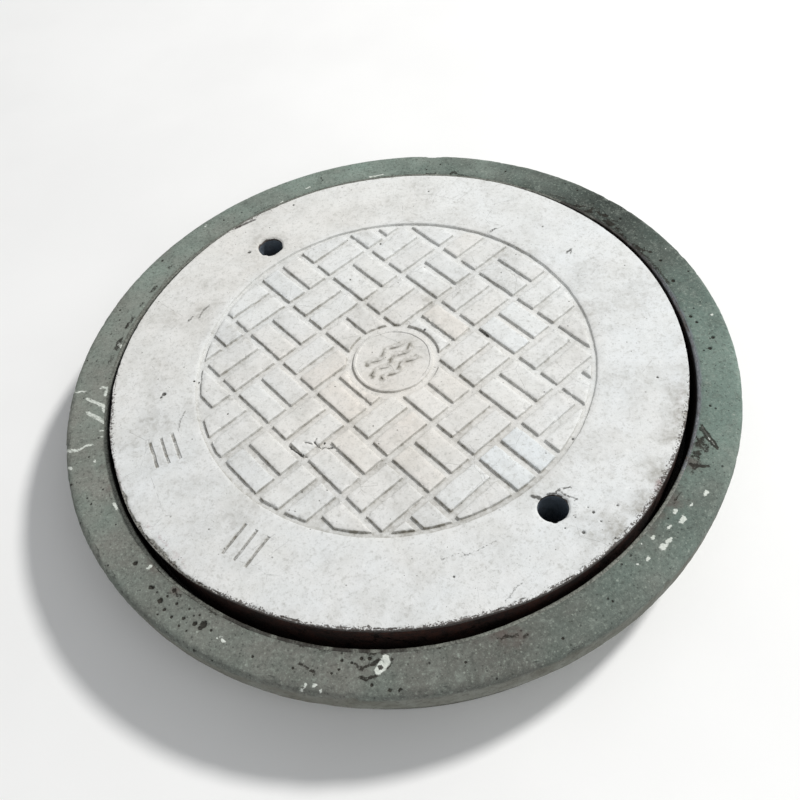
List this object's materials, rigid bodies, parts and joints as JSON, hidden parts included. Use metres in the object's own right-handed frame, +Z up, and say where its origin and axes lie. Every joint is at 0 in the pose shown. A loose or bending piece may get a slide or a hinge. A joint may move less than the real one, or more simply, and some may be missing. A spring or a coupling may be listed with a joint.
{
  "type": "manhole cover",
  "caption": "Round precast concrete manhole cover with a raised basket-weave panel and two lifting holes, resting loose in a round concrete frame with a steel seat.",
  "frame": {"origin": "centre of the frame's flat underside, on the axis that the frame and the cover share", "axes": "+Z up, along the way the cover lifts; +X and +Y lie in the road plane, with the pictured view looking along +Y"},
  "size_m": [0.83, 0.83, 0.112],
  "materials": {
    "cover_concrete": "matt cast concrete, near white, stained",
    "frame_concrete": "matt cast concrete, grey green, pitted",
    "band_steel": "rolled steel, rusted brown",
    "angle_steel": "rolled steel, dull grey with rust",
    "sleeve_steel": "steel tube, dark and dirty",
    "rebar": "mill scale with light rust"
  },
  "bodies": {
    "frame": {"frame_ring": "frame_concrete", "seat_angle_ring": "angle_steel", "hoop_lower_inner": "rebar", "hoop_lower_outer": "rebar", "hoop_upper_inner": "rebar", "hoop_upper_outer": "rebar", "frame_tie_01": "rebar", "frame_tie_02": "rebar", "frame_tie_03": "rebar", "frame_tie_04": "rebar", "frame_tie_05": "rebar", "frame_tie_06": "rebar", "frame_tie_07": "rebar", "frame_tie_08": "rebar", "frame_tie_09": "rebar", "frame_tie_10": "rebar", "frame_tie_11": "rebar", "frame_tie_12": "rebar"},
    "cover": {"cover_slab": "cover_concrete", "cover_edge_band": "band_steel", "lift_hole_sleeve_near": "sleeve_steel", "lift_hole_sleeve_far": "sleeve_steel", "lower_bar_1": "rebar", "lower_bar_2": "rebar", "lower_bar_3": "rebar", "lower_bar_4": "rebar", "lower_bar_5": "rebar", "lower_bar_6": "rebar", "lower_bar_7": "rebar", "upper_bar_1": "rebar", "upper_bar_2": "rebar", "upper_bar_3": "rebar", "upper_bar_4": "rebar", "upper_bar_5": "rebar", "upper_bar_6": "rebar", "upper_bar_7": "rebar"}
  },
  "joints": [
    {"name": "cover_lift", "type": "slide", "parent": "frame", "child": "cover", "axis": [0, 0, 1], "range_m": [0, 0.15]}
  ]
}
